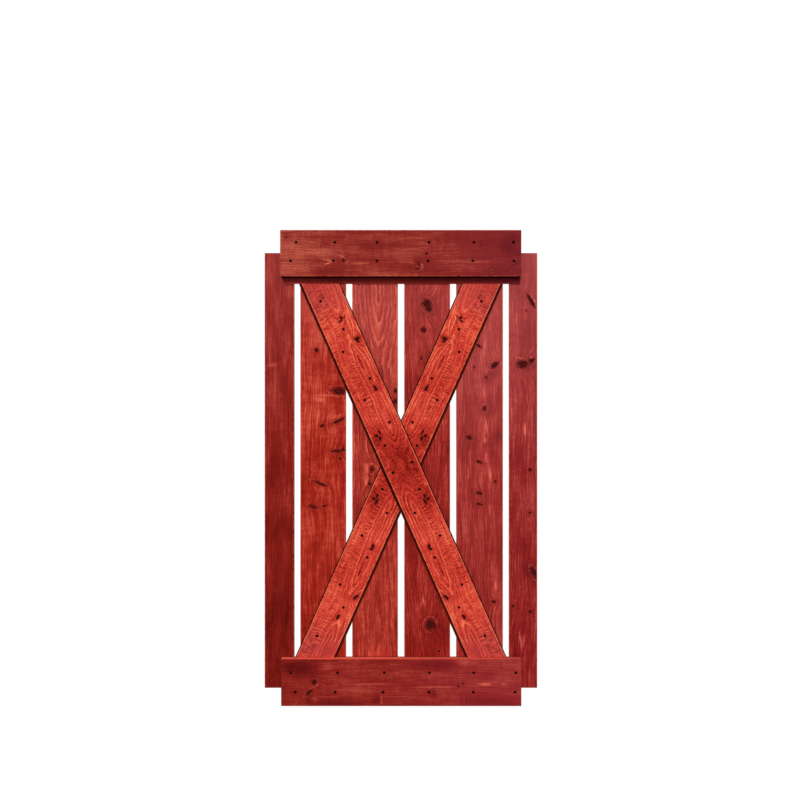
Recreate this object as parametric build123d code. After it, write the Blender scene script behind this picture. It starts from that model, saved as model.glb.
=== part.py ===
from build123d import *
import math
import os

# Sliding barn door: six upright planks with gaps between them, screwed behind a top
# rail and a bottom rail, with an X of braces between the rails. One long brace runs
# unbroken from the top left to the bottom right. Two half braces make the other arm
# of the X and are mitred against the long brace's edges. The top rail has a thin lip
# along its lower edge, set back from its face, and the braces' lower sides slope out
# towards the planks.
# Millimetres, +Z up, +X to the right, front towards -Y. The origin is the middle of
# the door's footprint, at the height of the bottom rail's lower edge.

# Planks, from the left
plank_widths = (133.0, 206.3, 206.8, 207.7, 210.6, 126.6)
plank_gap = 28.8
plank_length = 1970.5
plank_thickness = 19.0

# Rails, across the front of the planks
rail_thickness = 32.0
top_rail_height = 208.0
bottom_rail_height = 211.0
top_rail_rise = 96.5            # stands above the planks' top ends
bottom_rail_drop = 68.0         # hangs below the planks' bottom ends
top_rail_left_inset = 75.5      # from the door's left edge to the rail's end
bottom_rail_left_inset = 80.0
rail_right_inset = 77.5
lip_height = 30.5               # of the top rail's lip, below the rail's face
lip_thickness = 8.0
lip_end_slant = 15.0            # the lip's left end, from its top to its lower edge

# Braces, in one layer between the rails
brace_thickness = 16.0
brace_width = 164.0
brace_top_reach = 377.0         # centreline's distance from the middle, at the top rail
brace_bottom_reach = 388.0      # the same at the bottom rail
under_slope = 8.0               # how far a lower side slopes out, from front to back
butt_gap = 0.4                  # joint between a brace's end and a rail
mitre_gap = 0.4                 # joint between a half brace and the long brace

# Flat taken off every sawn edge
edge_ease = 1.5

# Flat-head wood screws, drawn with flat sides to keep so many of them light
screw_sides = 8
head_radius = 4.9               # at the top of the 90 degree cone
head_sink = 0.4                 # top of the head below the board's face
shank_radius = 2.4
point_radius = 0.6
tip_length = 6.0
screw_stop = 5.0                # wood left between a screw's tip and the plank's back
screw_clearance = 0.15          # round each screw in its drilled hole

# Screw rows through the rails into the planks, and open rows past the planks' ends
top_screw_row = 42.5            # below the planks' top ends
top_open_row = 41.0             # above the planks' top ends
bottom_screw_row = 82.0         # above the planks' bottom ends
bottom_open_row = 5.5           # below the planks' bottom ends
open_hole_radius = 2.6

# Where each hole of a row lies across its plank, from 0 at the left edge to 1
top_screw_shares = (0.92, 0.74, 0.545, 0.515, 0.335, 0.125)
top_open_shares = (1.105, 0.77, 0.55, 0.535, 0.36, 0.11)
bottom_screw_shares = (0.92, 0.83, 0.705, 0.545, 0.355, 0.195)
bottom_open_shares = (1.085, 0.78, 0.675, 0.53, 0.345, 0.165)

# Screws along each half of a brace, in two rows that alternate
row_inset = 51.0                # from the brace's edge to each row
first_rise = 86.0               # first screw above the crossing
first_drop = 111.0              # first screw below the crossing
top_end_inset = 110.0           # last screw below the top rail
bottom_end_inset = 98.0         # last screw above the bottom rail
brace_shares = (0.0, 0.162, 0.315, 0.465, 0.649, 0.806, 1.0)
plank_margin = 10.0             # least distance from a screw's axis to a plank's edge

# The pair of screws that pins the long brace at the crossing
crossing_inset = 33.0           # from the brace's edge
crossing_right_rise = 11.0
crossing_left_drop = 37.0

# Heights that follow
plank_bottom = bottom_rail_drop
plank_top = plank_bottom + plank_length
zone_top = plank_top + top_rail_rise - top_rail_height
zone_bottom = bottom_rail_height
zone_height = zone_top - zone_bottom
brace_top = zone_top - lip_height - butt_gap
brace_bottom = zone_bottom + butt_gap

# Depths that follow, with the door centred between its front and its back
door_depth = plank_thickness + rail_thickness
back_y = door_depth / 2
plank_front_y = back_y - plank_thickness
rail_front_y = plank_front_y - rail_thickness
brace_front_y = plank_front_y - brace_thickness

# Widths that follow, with the planks centred
plank_count = len(plank_widths)
door_width = sum(plank_widths) + plank_gap * (plank_count - 1)
plank_lefts = [sum(plank_widths[:i]) + plank_gap * i - door_width / 2 for i in range(plank_count)]

# The X: lean of a centreline from upright, and the height where the two cross
brace_slope = (brace_top_reach + brace_bottom_reach) / zone_height
brace_lean = math.atan(brace_slope)
crossing_z = zone_bottom + brace_bottom_reach / brace_slope

# Countersinks: their radius at a board's face, where the 90 degree cone comes out
sink_mouth = head_radius + screw_clearance + head_sink


def eased_board(width, depth, height):
    """A sawn board with a small flat on every edge."""
    block = Box(width, depth, height)
    return chamfer(block.edges(), edge_ease)


def plank(index):
    """One upright plank, counted from the left."""
    width = plank_widths[index]
    middle_x = plank_lefts[index] + width / 2
    place = Pos(middle_x, back_y - plank_thickness / 2, plank_bottom + plank_length / 2)
    return place * eased_board(width, plank_thickness, plank_length)


def rail(left_inset, bottom, height):
    """One cross rail, from its left end to the right end that both rails share."""
    left = left_inset - door_width / 2
    right = door_width / 2 - rail_right_inset
    place = Pos((left + right) / 2, rail_front_y + rail_thickness / 2, bottom + height / 2)
    return place * eased_board(right - left, rail_thickness, height)


def top_rail():
    """The top rail, with the thin lip set back below its face."""
    board = rail(top_rail_left_inset, zone_top, top_rail_height)
    left = top_rail_left_inset - door_width / 2 + edge_ease
    right = door_width / 2 - rail_right_inset - edge_ease
    outline = Polyline(
        (left, zone_top + 2 * edge_ease),
        (left, zone_top),
        (left + lip_end_slant, zone_top - lip_height),
        (right, zone_top - lip_height),
        (right, zone_top + 2 * edge_ease),
        close=True,
    )
    upright = Plane(origin=(0, plank_front_y, 0), x_dir=(1, 0, 0), z_dir=(0, -1, 0))
    return board + extrude(upright * make_face(outline), lip_thickness)


def along_arm(side):
    """The crossing's place, turned to an arm: side 1 leans to the left, -1 to the right."""
    middle = (0, brace_front_y + brace_thickness / 2, crossing_z)
    return Location(middle, (0, -side * math.degrees(brace_lean), 0))


def brace_bar(side, length):
    """An arm's bar along Z, with its lower side sloping out towards the planks."""
    upper = side * brace_width / 2
    half_depth = brace_thickness / 2
    section = Polyline(
        (upper, -half_depth),
        (-upper, -half_depth),
        (-upper - side * under_slope, half_depth),
        (upper, half_depth),
        close=True,
    )
    bar = extrude(make_face(section), length / 2, both=True)
    return chamfer(bar.edges().filter_by(Axis.Z), edge_ease)


def brace_arm(side):
    """One arm of the X, cut level to butt against the top rail's lip and the bottom rail."""
    length = 2 * (zone_height / math.cos(brace_lean) + brace_width)
    bar = along_arm(side) * brace_bar(side, length)
    cut = Box(2 * door_width, 2 * door_depth, brace_top - brace_bottom)
    return bar & Pos(0, 0, (brace_top + brace_bottom) / 2) * cut


def half_braces():
    """The arm that the long brace parts: its lower half and its upper half."""
    strip = Box(brace_width + under_slope + 2 * mitre_gap, 2 * door_depth, 2 * zone_height)
    parted = brace_arm(-1) - along_arm(1) * Pos(-under_slope / 2, 0, 0) * strip
    return parted.solids().sort_by(Axis.Z)


def over_plank(x):
    """The nearest place to x that lies over a plank, clear of the plank's edges."""
    places = []
    for left, width in zip(plank_lefts, plank_widths):
        nearest = min(max(x, left + plank_margin), left + width - plank_margin)
        places.append(nearest)
    return min(places, key=lambda place: abs(place - x))


def rail_row(shares, z):
    """Places of a row of holes at one height, one hole to a plank."""
    spans = zip(plank_lefts, plank_widths, shares)
    return [(left + share * width, z) for left, width, share in spans]


def on_brace(side, z, edge, inset):
    """A place on an arm at height z, inset from its left edge (-1) or right edge (1)."""
    centre = side * (crossing_z - z) * brace_slope
    offset = edge * (brace_width / 2 - inset) / math.cos(brace_lean)
    return (over_plank(centre + offset), z)


def brace_rows(side, start, stop, edge):
    """Places along half an arm, from height start to stop, changing edge each time."""
    places = []
    for share in brace_shares:
        places.append(on_brace(side, start + share * (stop - start), edge, row_inset))
        edge = -edge
    return places


def upper_rows(side):
    """Places from the crossing up to the top rail, starting at the arm's lower edge."""
    return brace_rows(side, crossing_z + first_rise, zone_top - top_end_inset, -side)


def lower_rows(side):
    """Places from the crossing down to the bottom rail, starting at the upper edge."""
    return brace_rows(side, crossing_z - first_drop, zone_bottom + bottom_end_inset, side)


def crossing_pair():
    """Places of the two screws that pin the long brace at the crossing."""
    right = on_brace(1, crossing_z + crossing_right_rise, 1, crossing_inset)
    left = on_brace(1, crossing_z - crossing_left_drop, -1, crossing_inset)
    return [right, left]


def flat_sided(profile):
    """A solid round the Y axis with flat sides, from its (radius, depth) profile."""
    turns = [2 * math.pi * k / screw_sides for k in range(screw_sides)]
    rings = [[Vector(r * math.cos(t), y, r * math.sin(t)) for t in turns] for r, y in profile]
    faces = [Face(Wire.make_polygon(rings[0])), Face(Wire.make_polygon(rings[-1]))]
    for near, far in zip(rings, rings[1:]):
        for k in range(screw_sides):
            corners = [near[k - 1], near[k], far[k], far[k - 1]]
            faces.append(Face(Wire.make_polygon(corners)))
    return Solid(Shell(faces))


def screw(length):
    """A flat-head screw that points along +Y from a board's face at depth 0."""
    return flat_sided([
        (head_radius, head_sink),
        (shank_radius, head_sink + head_radius - shank_radius),
        (shank_radius, length - tip_length),
        (point_radius, length),
    ])


def screw_hole(length):
    """The drilled and countersunk hole that a screw fits, open at the board's face."""
    bore = shank_radius + screw_clearance
    return flat_sided([
        (sink_mouth + edge_ease, -edge_ease),
        (bore, sink_mouth - bore),
        (bore, length - tip_length),
        (point_radius + screw_clearance, length + screw_clearance),
    ])


def open_hole():
    """A round hole right through a rail, with the screws' countersink."""
    through = rail_thickness + edge_ease
    section = Polyline(
        (0, -edge_ease),
        (sink_mouth + edge_ease, -edge_ease),
        (open_hole_radius, sink_mouth - open_hole_radius),
        (open_hole_radius, through),
        (0, through),
        close=True,
    )
    return revolve(make_face(section), Axis.Y)


def set_at(tool, places, front_y):
    """Copies of a tool at places on a front face."""
    return [Pos(x, front_y, z) * tool for x, z in places]


def save(name, shape):
    """Write one node."""
    export_step(shape, f"parts/{name}.step")


# Every screw group: the front face of its board, its screws' places and their length
rail_screw = rail_thickness + plank_thickness - screw_stop
brace_screw = brace_thickness + plank_thickness - screw_stop
top_row = rail_row(top_screw_shares, plank_top - top_screw_row)
bottom_row = rail_row(bottom_screw_shares, plank_bottom + bottom_screw_row)
groups = {
    "top_rail": (rail_front_y, top_row, rail_screw),
    "bottom_rail": (rail_front_y, bottom_row, rail_screw),
    "long_brace": (brace_front_y, upper_rows(1) + crossing_pair() + lower_rows(1), brace_screw),
    "upper_half_brace": (brace_front_y, upper_rows(-1), brace_screw),
    "lower_half_brace": (brace_front_y, lower_rows(-1), brace_screw),
}
holes = {name: set_at(screw_hole(length), places, y) for name, (y, places, length) in groups.items()}
every_hole = sum(holes.values(), [])

# The rails' open holes, in a row past each end of the planks
top_open = set_at(open_hole(), rail_row(top_open_shares, plank_top + top_open_row), rail_front_y)
bottom_places = rail_row(bottom_open_shares, plank_bottom - bottom_open_row)
bottom_open = set_at(open_hole(), bottom_places, rail_front_y)

os.makedirs("parts", exist_ok=True)

for index in range(plank_count):
    left = plank_lefts[index]
    own = [hole for hole in every_hole if left < hole.position.X < left + plank_widths[index]]
    save(f"plank_{index + 1}", plank(index) - own)

lower_half, upper_half = half_braces()
boards = {
    "top_rail": top_rail() - top_open,
    "bottom_rail": rail(bottom_rail_left_inset, 0, bottom_rail_height) - bottom_open,
    "long_brace": brace_arm(1),
    "upper_half_brace": upper_half,
    "lower_half_brace": lower_half,
}
for name, board in boards.items():
    front_y, places, length = groups[name]
    save(name, board - holes[name])
    save(f"{name}_screws", Compound(set_at(screw(length), places, front_y)))
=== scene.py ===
import logging
import math
from dataclasses import dataclass, field, replace
from enum import Enum

import bpy
import numpy as np
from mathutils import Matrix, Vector


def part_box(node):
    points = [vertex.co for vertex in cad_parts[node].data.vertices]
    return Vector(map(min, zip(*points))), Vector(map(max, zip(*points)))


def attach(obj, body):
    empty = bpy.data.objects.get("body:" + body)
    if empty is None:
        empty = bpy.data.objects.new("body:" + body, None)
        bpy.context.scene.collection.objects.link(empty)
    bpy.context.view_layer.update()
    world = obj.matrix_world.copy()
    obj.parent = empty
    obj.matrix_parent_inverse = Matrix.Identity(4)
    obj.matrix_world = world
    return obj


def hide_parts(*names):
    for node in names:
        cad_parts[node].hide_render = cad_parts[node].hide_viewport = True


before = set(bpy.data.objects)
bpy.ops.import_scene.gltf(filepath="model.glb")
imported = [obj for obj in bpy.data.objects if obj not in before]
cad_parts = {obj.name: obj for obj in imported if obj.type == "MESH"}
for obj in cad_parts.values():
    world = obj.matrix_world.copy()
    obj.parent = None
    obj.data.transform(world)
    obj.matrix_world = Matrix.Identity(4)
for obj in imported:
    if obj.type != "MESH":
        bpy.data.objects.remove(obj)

# Sliding barn door in stained knotty pine. Every board is a fine closed mesh whose points
# carry its growth rings, knots and tone, and the stain turns them into colour and relief.
# Metres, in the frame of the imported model. Knots, patches and holes are in millimetres.

Socket = bpy.types.NodeSocket
Piece = bpy.types.Object
Colour = tuple[int, int, int]
Place = tuple[float, float]
Point = tuple[float, float, float]
Outline = list[Place]
Steps = tuple[Place, ...]
Faces = list[tuple[int, ...]]

LOG = logging.getLogger("barn_door")
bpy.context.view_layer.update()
MM = 0.001

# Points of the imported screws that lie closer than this, in metres, belong to one screw.
SCREW_WIDTH = 0.012

# A board's number times this shifts its noise.
SEED_SHIFT = 1.37

# A knot is felt up to this many times its size.
FAR_FROM_KNOTS = 4.0

# A knot bends the rings over its size times the first number and the second in millimetres.
BEND_ACROSS = (1.9, 4.0)
BEND_ALONG = (3.0, 12.0)
BEND_RISE = 3.0

# Millimetres. The X's two halves match, so their grain is worked out from the crossing.
BRACE_REACH = 925.0
FOLD_MIX = 60.0
FOLD_ROUND = 40.0

# What stands for any place that is far from the face's edges or holes, in millimetres.
OFF_THE_FACE = 50.0


class Grain(Enum):
    """The way a board's grain runs, as its lean from upright in degrees."""

    UPRIGHT = 0.0
    LEVEL = 90.0
    LEFT_ARM = 24.03
    RIGHT_ARM = -24.03


class Layer(Enum):
    """The depth of each layer's front and back face, in metres."""

    PLANKS = (0.0065, 0.0255)
    RAILS = (-0.0255, 0.0065)
    BRACES = (-0.0095, 0.0065)
    LIP = (-0.0015, 0.0065)


class Noise(Enum):
    """A noise's fineness, its finer layers, their strength and, in some, how far it is drawn out."""

    STREAKS = (190.0, 4.0, 0.62, 0.035)
    FIBRES = (520.0, 3.0, 0.6, 0.05)
    CLOUDS = (24.0, 4.0, 0.6, 0.22)
    SPECKLE = (240.0, 2.0, 0.6, 0.7)
    CHATTER = (44.0, 3.0, 0.5, 0.4)
    SAW_TICKS = (230.0, 2.0, 0.6, 0.12)
    SAW_ZONES = (14.0, 2.0, 0.5, 0.4)
    WANDER = (24.0, 3.0, 0.5)
    RING_SPACING = (30.0, 1.0, 0.5)
    RING_FADING = (11.0, 2.0, 0.5)
    KNOT_EDGE = (95.0, 4.0, 0.7)
    KNOT_SMUDGE = (70.0, 2.0, 0.5)
    KNOT_ARCS = (40.0, 2.0, 0.5)
    KNOT_CRACKS = (210.0, 2.0, 0.6)
    # Breaks up the arrises' wear and painted highlight.
    ARRIS_WEAR_AND_HIGHLIGHT = (60.0, 3.0, 0.5)
    STEEL = (900.0, 4.0, 0.6)
    FLOOR = (2.0, 2.0, 0.5)


class Drift(Enum):
    """A board's slow changes: their number, size, and run across and along in millimetres."""

    SWELL = (0, 9.0, 400, 260)
    RIPPLE = (1, 3.0, 120, 90)
    SWAY = (2, 10.0, 300, 1)
    WOBBLE = (3, 3.0, 60, 80)
    WASH = (5, 0.2, 34, 330)
    MOTTLE = (6, 0.14, 90, 120)


def linear(colour: Colour) -> tuple[float, float, float, float]:
    """Turn a screen colour, from 0 to 255, into the linear one that a shader takes."""
    parts = [c / 255 for c in colour]
    return (*(p / 12.92 if p <= 0.04045 else ((p + 0.055) / 1.055) ** 2.4 for p in parts), 1.0)


def grey(level: float) -> tuple[float, float, float, float]:
    """Give a plain linear grey, from 0 to 1."""
    return (level, level, level, 1.0)


def smooth_step(low: float, high: float, value: np.ndarray) -> np.ndarray:
    """Rise smoothly from 0 to 1 between a low and a high value."""
    t = np.clip((value - low) / (high - low), 0.0, 1.0)
    return t * t * (3 - 2 * t)


def drift(u: np.ndarray, v: np.ndarray, step_u: float, step_v: float, seed: int) -> np.ndarray:
    """Smooth seeded noise from -1 to 1 over a board.

    Args:
        u: Places across the board.
        v: Places along the board.
        step_u: Size of the noise across the board.
        step_v: Size of the noise along the board.
        seed: Which noise it is.

    Returns:
        The noise at each place.
    """
    size, shift = 64, 1000
    lattice = np.random.RandomState(seed).uniform(-1, 1, (size, size))
    a, b = u / step_u + shift, v / step_v + shift
    i, j = np.floor(a).astype(int), np.floor(b).astype(int)
    s, t = smooth_step(0, 1, a - i), smooth_step(0, 1, b - j)
    i0, i1, j0, j1 = i % size, (i + 1) % size, j % size, (j + 1) % size
    low = lattice[i0, j0] * (1 - s) + lattice[i1, j0] * s
    high = lattice[i0, j1] * (1 - s) + lattice[i1, j1] * s
    return low * (1 - t) + high * t


def circle(radius: float, y: float, sides: int, x: float = 0.0, z: float = 0.0) -> list[Point]:
    """Place points evenly round a ring that faces the front."""
    turns = [2 * math.pi * k / sides for k in range(sides)]
    return [(x + radius * math.cos(t), y, z + radius * math.sin(t)) for t in turns]


def ring_faces(rings: int, sides: int, start: int = 0) -> Faces:
    """Close a row of rings with faces between them and one over each end.

    Args:
        rings: How many rings there are, from the front to the back.
        sides: How many points each has, counterclockwise seen from the front.
        start: The first point's number.

    Returns:
        The faces.
    """
    last = start + (rings - 1) * sides
    faces = [tuple(range(start, start + sides))]
    for ring in range(start, last, sides):
        for j in range(sides):
            a, b = ring + j, ring + (j + 1) % sides
            faces.append((a, a + sides, b + sides, b))
    faces.append(tuple(range(last + sides - 1, last - 1, -1)))
    return faces


@dataclass(frozen=True)
class Knot:
    """A knot or a split, in millimetres on the door's front."""

    x: float
    z: float
    across: float
    along: float
    lean: float = 0.0
    lift: float = 1.0
    depth: float = 1.0

    def bulge(self, du: np.ndarray, dv: np.ndarray) -> np.ndarray:
        """Bend the growth rings round the knot.

        Args:
            du: Millimetres across the board from the knot.
            dv: Millimetres along the board from it.

        Returns:
            How far the rings bend at each place, in millimetres.
        """
        wide = self.across * BEND_ACROSS[0] + BEND_ACROSS[1]
        long = self.along * BEND_ALONG[0] + BEND_ALONG[1]
        near = np.exp(-((du / wide) ** 2 + (dv / long) ** 2))
        return near * self.lift * (self.across + BEND_RISE)


@dataclass(frozen=True)
class Patch:
    """A soft lighter or darker place on a board, in millimetres on the door's front."""

    x: float
    z: float
    across: float
    along: float
    tone: float
    lean: float = 0.0


@dataclass(frozen=True)
class Bore:
    """A countersunk hole, a screw's or an open one, in millimetres on the door's front."""

    x: float
    z: float
    through: bool = False
    mouth: float = 5.45
    rim: float = 5.6
    screw_radius: float = 2.4
    open_radius: float = 2.6
    overrun: float = 2.0
    blind_share: float = 0.9
    sides: int = 32

    def tool(self, front_y: float, back_y: float) -> list[list[Point]]:
        """Shape the tool that cuts the hole.

        Args:
            front_y: The depth of the board's face.
            back_y: The depth of its back.

        Returns:
            The tool's rings, from the front.
        """
        mouth, over = self.mouth * MM, self.overrun * MM
        bore = (self.open_radius if self.through else self.screw_radius) * MM
        end = back_y + over if self.through else front_y + (back_y - front_y) * self.blind_share
        rings = ((mouth + over, front_y - over), (bore, front_y + mouth - bore), (bore, end))
        return [circle(radius, y, self.sides, self.x * MM, self.z * MM) for radius, y in rings]


class Wiring:
    """Builds the nodes of a material or of the world from short calls."""

    def __init__(self, owner: bpy.types.Material | bpy.types.World) -> None:
        """Start with no nodes.

        Args:
            owner: The material or the world.
        """
        owner.use_nodes = True
        self.tree = owner.node_tree
        self.tree.nodes.clear()

    def node(self, kind: str, *given: object, **settings: object) -> bpy.types.Node:
        """Add a node.

        Args:
            kind: The node's type.
            given: What its first inputs are linked or set to, in their order.
            settings: Properties to set on it.

        Returns:
            The node.
        """
        made = self.tree.nodes.new(kind)
        for key, value in settings.items():
            setattr(made, key, value)
        for socket, value in zip(made.inputs, given):
            self.feed(socket, value)
        return made

    def feed(self, socket: Socket, value: object) -> None:
        """Link a socket or set its value.

        Args:
            socket: The input.
            value: A socket to link, or a plain value.
        """
        if isinstance(value, Socket):
            self.tree.links.new(value, socket)
        else:
            socket.default_value = value

    def calc(self, how: str, a: object, b: object = 0.0, clamp: bool = False) -> Socket:
        """Do one sum, kept between 0 and 1 if it is clamped."""
        return self.node("ShaderNodeMath", a, b, operation=how, use_clamp=clamp).outputs[0]

    def plus(self, a: object, b: object) -> Socket:
        """Add two values."""
        return self.calc("ADD", a, b)

    def less(self, a: object, b: object) -> Socket:
        """Take the second value from the first."""
        return self.calc("SUBTRACT", a, b)

    def times(self, a: object, b: object) -> Socket:
        """Multiply two values."""
        return self.calc("MULTIPLY", a, b)

    def grade(self, value: object, low: float, high: float, start: float = 0.0, stop: float = 1.0) -> Socket:
        """Map a value smoothly from a low and a high end to a start and a stop."""
        ends = (value, low, high, start, stop)
        return self.node("ShaderNodeMapRange", *ends, interpolation_type="SMOOTHSTEP").outputs[0]

    def field_of(self, name: str) -> Socket:
        """Read one of the values that the mesh's points carry."""
        return self.node("ShaderNodeAttribute", attribute_name=name).outputs["Fac"]

    def on_object(self) -> Socket:
        """Read the place on the object."""
        return self.node("ShaderNodeTexCoord").outputs["Object"]

    def place(self, x: object, y: object, z: object) -> Socket:
        """Join three values into a place."""
        return self.node("ShaderNodeCombineXYZ", x, y, z).outputs[0]

    def noise(self, where: Socket, kind: Noise) -> Socket:
        """Add noise from 0 to 1.

        Args:
            where: The place it is read at.
            kind: Which noise it is.

        Returns:
            The noise.
        """
        made = self.node("ShaderNodeTexNoise")
        self.feed(made.inputs["Vector"], where)
        for name, value in zip(("Scale", "Detail", "Roughness"), kind.value):
            self.feed(made.inputs[name], value)
        return made.outputs[0]

    def along_grain(self, kind: Noise, across: Socket, along: Socket, deep: object) -> Socket:
        """Add noise that is drawn out along the grain."""
        return self.noise(self.place(across, self.times(along, kind.value[3]), deep), kind)

    def across_grain(self, kind: Noise, across: Socket, along: Socket, deep: object) -> Socket:
        """Add noise that is drawn out across the grain."""
        return self.noise(self.place(self.times(across, kind.value[3]), along, deep), kind)

    def ramp(self, value: Socket, stops: tuple[tuple[float, Colour], ...]) -> Socket:
        """Turn a value into a colour.

        Args:
            value: The value, from 0 to 1.
            stops: Values and their screen colours, from 0 to 1.

        Returns:
            The colour.
        """
        made = self.node("ShaderNodeValToRGB", value)
        points = made.color_ramp.elements
        for at, colour in stops:
            point = {0: points[0], 1: points[-1]}.get(at) or points.new(at)
            point.color = linear(colour)
        return made.outputs[0]

    def mix(self, amount: object, a: object, b: object) -> Socket:
        """Mix two colours.

        Args:
            amount: How much of the second, from 0 to 1.
            a: The first colour.
            b: The second colour.

        Returns:
            The mixed colour.
        """
        made = self.node("ShaderNodeMix", amount, data_type="RGBA")
        self.feed(made.inputs[6], a)
        self.feed(made.inputs[7], b)
        return made.outputs[2]

    def seen(self) -> Socket:
        """Tell what is looked at, directly or in a shine, from what only lights the door.

        Returns:
            1 for what is seen, 0 for the rest.
        """
        path = self.node("ShaderNodeLightPath")
        either = self.calc("MAXIMUM", path.outputs["Is Camera Ray"], path.outputs["Is Glossy Ray"])
        return self.calc("MAXIMUM", either, path.outputs["Is Transmission Ray"])

    def finish(self, shader: Socket, kind: str = "ShaderNodeOutputMaterial") -> None:
        """Wire a shader to the output."""
        self.feed(self.node(kind).inputs["Surface"], shader)

    def surface(self, colour: Socket, rough: Socket, height: Socket, relief: Place, specular: float) -> None:
        """Finish a material that has fine relief.

        Args:
            colour: Its colour.
            rough: Its roughness.
            height: The relief, from the surface.
            relief: The relief's strength, and its height in metres.
            specular: How strongly it shines.
        """
        bump = self.node("ShaderNodeBump")
        bump.inputs["Strength"].default_value, bump.inputs["Distance"].default_value = relief
        self.feed(bump.inputs["Height"], height)
        shader = self.node("ShaderNodeBsdfPrincipled")
        shader.inputs["Specular IOR Level"].default_value = specular
        self.feed(shader.inputs["Base Color"], colour)
        self.feed(shader.inputs["Roughness"], rough)
        self.feed(shader.inputs["Normal"], bump.outputs[0])
        self.finish(shader.outputs[0])


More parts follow.
